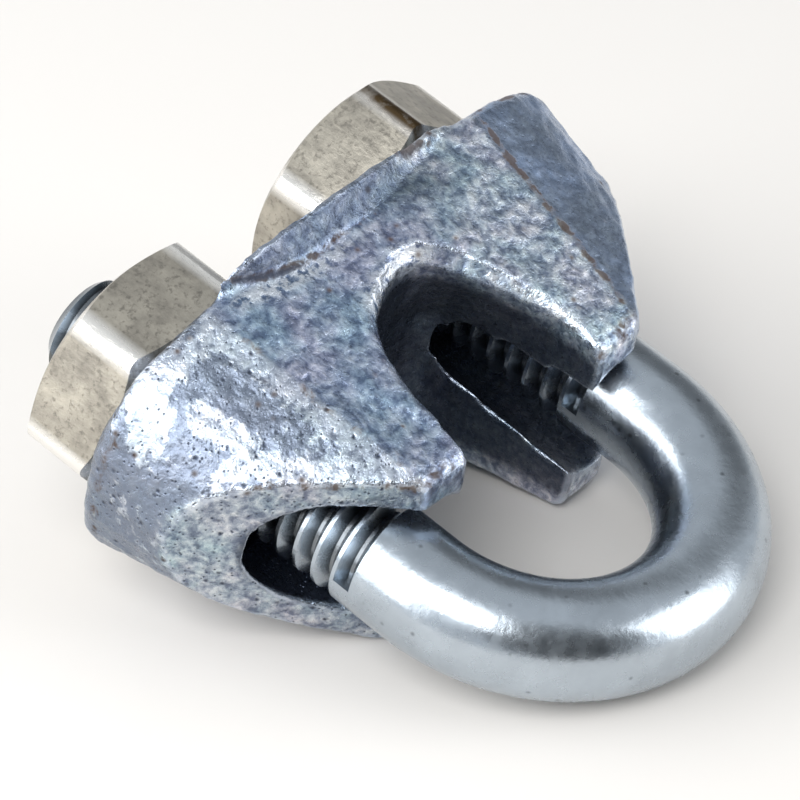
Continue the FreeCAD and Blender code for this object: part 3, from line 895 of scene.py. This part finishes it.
def mark_skin(block, settings):
    """Store where the casting is worn or stained, where it gets painted highlights and painted shade, and
    where its parts begin.
    """
    places = vertex_table(block)
    across, along, level = places.T
    share = (level - settings.tip_level) / (settings.seat_level - settings.tip_level)
    corner = settings.tip_straight / 2 + share * (settings.base_straight - settings.tip_straight) / 2
    right_end = ramp_up(-across - corner, *END_CHANGE)
    over_slope = (across - settings.prong_span / 2) * math.cos(settings.end_slope)
    over_slope -= (level - settings.tip_level) * math.sin(settings.end_slope)
    hidden = hidden_skin(places, share, settings)
    # Painted shade on the lips, fading out toward the right end, and the painted shadow in the crease under
    # the front lip.
    on_lip = LIP_SHADE * ramp_up(np.abs(along) - settings.base_width / 2, *LIP_CHANGE)
    on_lip = np.maximum(on_lip * ramp_up(across, *LIP_FADE), line_amounts(places, CREASE_SHADOW))
    marks = {
        "left_end": ramp_up(across - corner, *END_CHANGE),
        "right_end": right_end,
        # Where the right half gets its painted light.
        "lightened_right_half": ramp_up(-across, *HALF_CHANGE) * (1 - right_end),
        "left_slope": ramp_up(over_slope, *SLOPE_CHANGE),
        "stain": line_amounts(places, STAINS),
        # Where the left end gets its painted highlights.
        "left_end_glint": line_amounts(places, LEFT_END_GLINT),
        # Where the painted highlight round the groove's mouth and under the lip goes.
        "painted_glint": line_amounts(places, GLINT_LINES),
        "ridge": convexity(block),
        # Where the painted shade goes.
        "inside": np.maximum(hidden, on_lip),
    }
    for name in SKIN_MARKS:
        store(block, name, marks[name])
    return hidden


def weigh(piece, name, weights):
    """A vertex group with these weights, in tenths."""
    group = piece.vertex_groups.new(name=name)
    tenths = np.rint(weights * 10)
    for tenth in range(1, 11):
        group.add(np.flatnonzero(tenths == tenth).tolist(), tenth / 10, "REPLACE")


def soften(block, times, **where):
    apply_modifier(block, "SMOOTH", factor=0.5, iterations=times, **where)


def make_casting():
    settings = scene_settings("clip_casting")
    block = cast_block(settings)
    cut_away(block, groove_cutter(settings))
    for side in (1, -1):
        cut_away(block, hole_cutter(settings, side))
    pick_only(block, *(make_lip(settings, side) for side in (1, -1)))
    bpy.ops.object.join()

    apply_modifier(block, "REMESH", mode="VOXEL", voxel_size=settings.grain, use_smooth_shade=True)
    soften(block, settings.softening)
    weigh(block, "tips", vertex_table(block)[:, 2] < settings.tip_level + settings.worn_height)
    soften(block, settings.tip_wear, vertex_group="tips")
    hidden = mark_skin(block, settings)
    weigh(block, "hidden", hidden)
    soften(block, settings.rim_wear, vertex_group="hidden")
    weigh(block, "open", 1 - INSIDE_CALM * hidden)
    for name, size in SKIN_PATTERNS:
        pattern = bpy.data.textures.new(f"cast_{name}", "CLOUDS")
        pattern.noise_scale = size
        pattern.noise_depth = 2
        apply_modifier(
            block,
            "DISPLACE",
            texture=pattern,
            texture_coords="LOCAL",
            strength=getattr(settings, name),
            mid_level=0.75,
            vertex_group="open",
        )
    lay_down(block)
    bpy.ops.object.shade_smooth()
    return block


# ---- the nuts


# How much larger than a nut the bar is that rounds its corners, in millimetres: across the
# flats and along the axis.
BAR_EXCESS = (0.02, 2.0)

# How far from a corner, in degrees, the painted highlight and the dirt begin and end to fade.
GLINT_FADE = (3.5, 7.0)
DIRT_FADE = (2.0, 6.5)


def corner_rounder(settings, turn):
    """A hexagonal bar round a nut, with its six upright edges rounded."""
    rounder = start(
        "corner_rounder",
        "cylinder",
        vertices=6,
        radius=(settings.flats + BAR_EXCESS[0]) / math.sqrt(3),
        depth=settings.height + BAR_EXCESS[1],
    )
    corner = rounder.data.vertices[0].co
    place_by(rounder, Matrix.Rotation(turn - math.atan2(corner.y, corner.x), 4, "Z"))
    with editing():
        bpy.ops.mesh.select_all(action="DESELECT")
    for edge in rounder.data.edges:
        ends = [rounder.data.vertices[index].co for index in edge.vertices]
        edge.select = abs(ends[0].z - ends[1].z) > settings.height
    with editing():
        bpy.ops.mesh.select_mode(type="EDGE")
        bpy.ops.mesh.bevel(offset=settings.corner_round * math.tan(math.radians(30)), segments=6)
    return rounder


def soften_edges(nut, axis, settings):
    """Round the nut's outer edges, and leave the thread and its mouths as they are."""
    with editing():
        bpy.ops.mesh.select_mode(type="EDGE")
        bpy.ops.mesh.select_all(action="DESELECT")
        bpy.ops.mesh.edges_select_sharp(sharpness=math.radians(20))
    for edge in nut.data.edges:
        for index in edge.vertices:
            place = nut.data.vertices[index].co - axis
            if math.hypot(place.x, place.y) < settings.flats / 2 - settings.edge_band:
                edge.select = False
    with editing():
        bpy.ops.mesh.bevel(offset=settings.edge_round, segments=3, clamp_overlap=True)


def mark_nut(nut, axis, turn, dirty_corner, settings):
    """Store where the nut's corners get a painted highlight, and the dirt on one of them."""
    across, along = (vertex_table(nut) - axis)[:, :2].T
    angles = np.degrees(np.arctan2(along, across))
    dark_mark = np.zeros(len(angles))
    if dirty_corner is not None:
        gap = np.abs((angles - math.degrees(dirty_corner) + 180) % 360 - 180)
        dark_mark = 1 - ramp_up(gap, *DIRT_FADE)
    store(nut, "stain", dark_mark)
    from_corner = np.abs((angles - math.degrees(turn) + 30) % 60 - 30)
    far_out = np.hypot(across, along) > settings.flats / 2 - settings.edge_band
    store(nut, "corner_glint", (1 - ramp_up(from_corner, *GLINT_FADE)) * far_out)


def make_nut(node, seat, turn, dirty_corner):
    """A nut with its thread, its upright corners rounded and its edges softened."""
    settings = scene_settings("clip_nut")
    source = frame["nodes"][node]
    nut = bpy.data.objects.new(f"{node}_plated", source.data.copy())
    bpy.context.scene.collection.objects.link(nut)
    place_by(nut, clip_to_row().inverted())
    bpy.ops.mesh.customdata_custom_splitnormals_clear()
    with editing():
        bpy.ops.mesh.select_all(action="SELECT")
        bpy.ops.mesh.remove_doubles(threshold=0.002)

    low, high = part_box(node)
    centre = clip_to_row().inverted() @ ((Vector(low) + Vector(high)) / 2)
    side = 1 if centre.x > 0 else -1
    axis = Vector((side * LEG_SPACING / 2, 0, seat))
    rounder = corner_rounder(settings, turn)
    place_by(rounder, Matrix.Translation(axis + Vector((0, 0, settings.height / 2))))
    cut_away(nut, rounder, "INTERSECT")
    soften_edges(nut, axis, settings)
    mark_nut(nut, axis, turn, dirty_corner, settings)
    lay_down(nut)
    bpy.ops.object.shade_smooth_by_angle(angle=math.radians(28))
    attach(nut, node)
    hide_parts(node)
    return nut


class CLIP_OT_casting(bpy.types.Operator):
    """Cast the saddle with its rope groove, leg holes and lips"""

    bl_idname = "clip.casting"
    bl_label = "Saddle Casting"

    def execute(self, context):
        casting = make_casting()
        dress(casting, cast_zinc())
        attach(casting, "saddle")
        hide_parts("saddle")
        return {"FINISHED"}


class CLIP_OT_rod(bpy.types.Operator):
    """Plate the U-bolt"""

    bl_idname = "clip.rod"
    bl_label = "U-Bolt"

    def execute(self, context):
        dress_node("u_bolt", plated_rod())
        return {"FINISHED"}


class CLIP_OT_nuts(bpy.types.Operator):
    """Plate both nuts"""

    bl_idname = "clip.nuts"
    bl_label = "Nuts"

    def execute(self, context):
        material = plated_nut()
        seat = scene_settings("clip_casting").seat_level
        settings = scene_settings("clip_nut")
        dress(make_nut("nut_left", seat, settings.left_turn, None), material)
        right_seat = seat + settings.slack
        dress(make_nut("nut_right", right_seat, settings.right_turn, settings.right_dirt), material)
        return {"FINISHED"}


# ---- the stage


# The windows: name, azimuth and elevation in degrees, width and height in metres, and watts.
WINDOWS = (
    ("left_window", 138, 29, 0.58, 0.28, 1.85),
    ("front_window", -160, 50, 0.20, 0.2, 0.9),
    ("right_window", -60, 19, 0.22, 0.32, 0.66),
)
WINDOW_DISTANCE = 0.4

# Dark cards round the clip, which the rod mirrors: azimuth, elevation, angle within which
# the card is whole, angle where it ends, all in degrees, and the share of light it lets by.
CARDS = ((-117, 26, 24, 37, 0.10), (6, 27, 14, 31, 0.30))

# The camera's place, what it looks at, in metres, and how far it is tipped sideways.
CAMERA_PLACE = Vector((-0.15076, -0.11694, 0.15248))
CAMERA_AIM = Vector((0.00206, 0.00558, 0.00532))
CAMERA_TIP = math.radians(0.38)


def toward(azimuth, elevation):
    """The direction with this azimuth and elevation, in degrees."""
    azimuth, elevation = math.radians(azimuth), math.radians(elevation)
    flat = math.cos(elevation)
    return Vector((flat * math.cos(azimuth), flat * math.sin(azimuth), math.sin(elevation)))


def add_window(name, azimuth, elevation, width, height, power):
    """A rectangular light that faces the middle of the clip."""
    direction = toward(azimuth, elevation)
    bpy.ops.object.light_add(type="AREA", location=direction * WINDOW_DISTANCE)
    light = bpy.context.view_layer.objects.active
    light.name = name
    light.rotation_euler = direction.to_track_quat("Z", "Y").to_euler()
    light.data.shape = "RECTANGLE"
    light.data.size = width
    light.data.size_y = height
    light.data.energy = power


def make_floor(settings):
    floor = start("floor", "plane", size=settings.floor_size, location=(0, 0, CAD_BOX[0][2]))
    material, paint = new_material("floor_paper")
    paint.finish(Base_Color=settings.floor, Roughness=0.9)
    dress(floor, material)


def light_room(settings):
    """Even light from all round, apart from the dark cards."""
    world = bpy.data.worlds.new("studio")
    bpy.context.scene.world = world
    world.use_nodes = True
    paint = Painter(world.node_tree)
    direction = paint.node("TexCoord").outputs["Generated"]
    shade = 1.0
    for azimuth, elevation, whole, end, share in CARDS:
        nearness = paint.node("VectorMath")
        nearness.operation = "DOT_PRODUCT"
        paint.feed(nearness.inputs[0], direction)
        paint.feed(nearness.inputs[1], toward(azimuth, elevation))
        whole, end = math.cos(math.radians(whole)), math.cos(math.radians(end))
        shade = paint.times(shade, paint.ramp(nearness.outputs["Value"], (end, 1.0), (whole, share)))
    strength = paint.times(shade, settings.sky_strength)
    paint.fill(paint.nodes["Background"], Color=settings.sky, Strength=strength)


def add_camera(settings):
    bpy.ops.object.camera_add()
    camera = bpy.context.view_layer.objects.active
    camera.data.lens = settings.lens
    camera.data.sensor_width = 36.0
    turn = (CAMERA_PLACE - CAMERA_AIM).to_track_quat("Z", "Y") @ Quaternion((0, 0, 1), CAMERA_TIP)
    camera.location = CAMERA_PLACE
    camera.rotation_euler = turn.to_euler()
    camera.data.clip_start = 0.01
    bpy.context.scene.camera = camera
    bpy.context.scene.view_settings.view_transform = "Standard"


class CLIP_OT_stage(bpy.types.Operator):
    """Set the floor, the lights and the camera"""

    bl_idname = "clip.stage"
    bl_label = "Stage"

    def execute(self, context):
        settings = scene_settings("clip_stage")
        make_floor(settings)
        for window in WINDOWS:
            add_window(*window)
        light_room(settings)
        add_camera(settings)
        return {"FINISHED"}


class CLIP_PT_pieces(bpy.types.Panel):
    """The clip's pieces, in the order they are made"""

    bl_idname = "CLIP_PT_pieces"
    bl_label = "Wire Rope Clip"
    bl_space_type = "VIEW_3D"
    bl_region_type = "UI"
    bl_category = "Rope Clip"

    def draw(self, context):
        for operator in OPERATORS:
            self.layout.operator(operator.bl_idname)
        for group in SETTINGS:
            for name in group.__annotations__:
                self.layout.prop(getattr(context.scene, SETTINGS[group]), name)


SETTINGS = {
    CastingSettings: "clip_casting",
    RodSettings: "clip_rod",
    NutSettings: "clip_nut",
    StageSettings: "clip_stage",
}
OPERATORS = (CLIP_OT_casting, CLIP_OT_rod, CLIP_OT_nuts, CLIP_OT_stage)
CLASSES = (*SETTINGS, *OPERATORS, CLIP_PT_pieces)


def register():
    for cls in CLASSES:
        bpy.utils.register_class(cls)
    for group, name in SETTINGS.items():
        setattr(bpy.types.Scene, name, PointerProperty(type=group))


def unregister():
    for name in SETTINGS.values():
        delattr(bpy.types.Scene, name)
    for cls in reversed(CLASSES):
        bpy.utils.unregister_class(cls)


def main():
    register()
    bpy.ops.clip.casting()
    bpy.ops.clip.rod()
    bpy.ops.clip.nuts()
    bpy.ops.clip.stage()


if __name__ == "__main__":
    main()
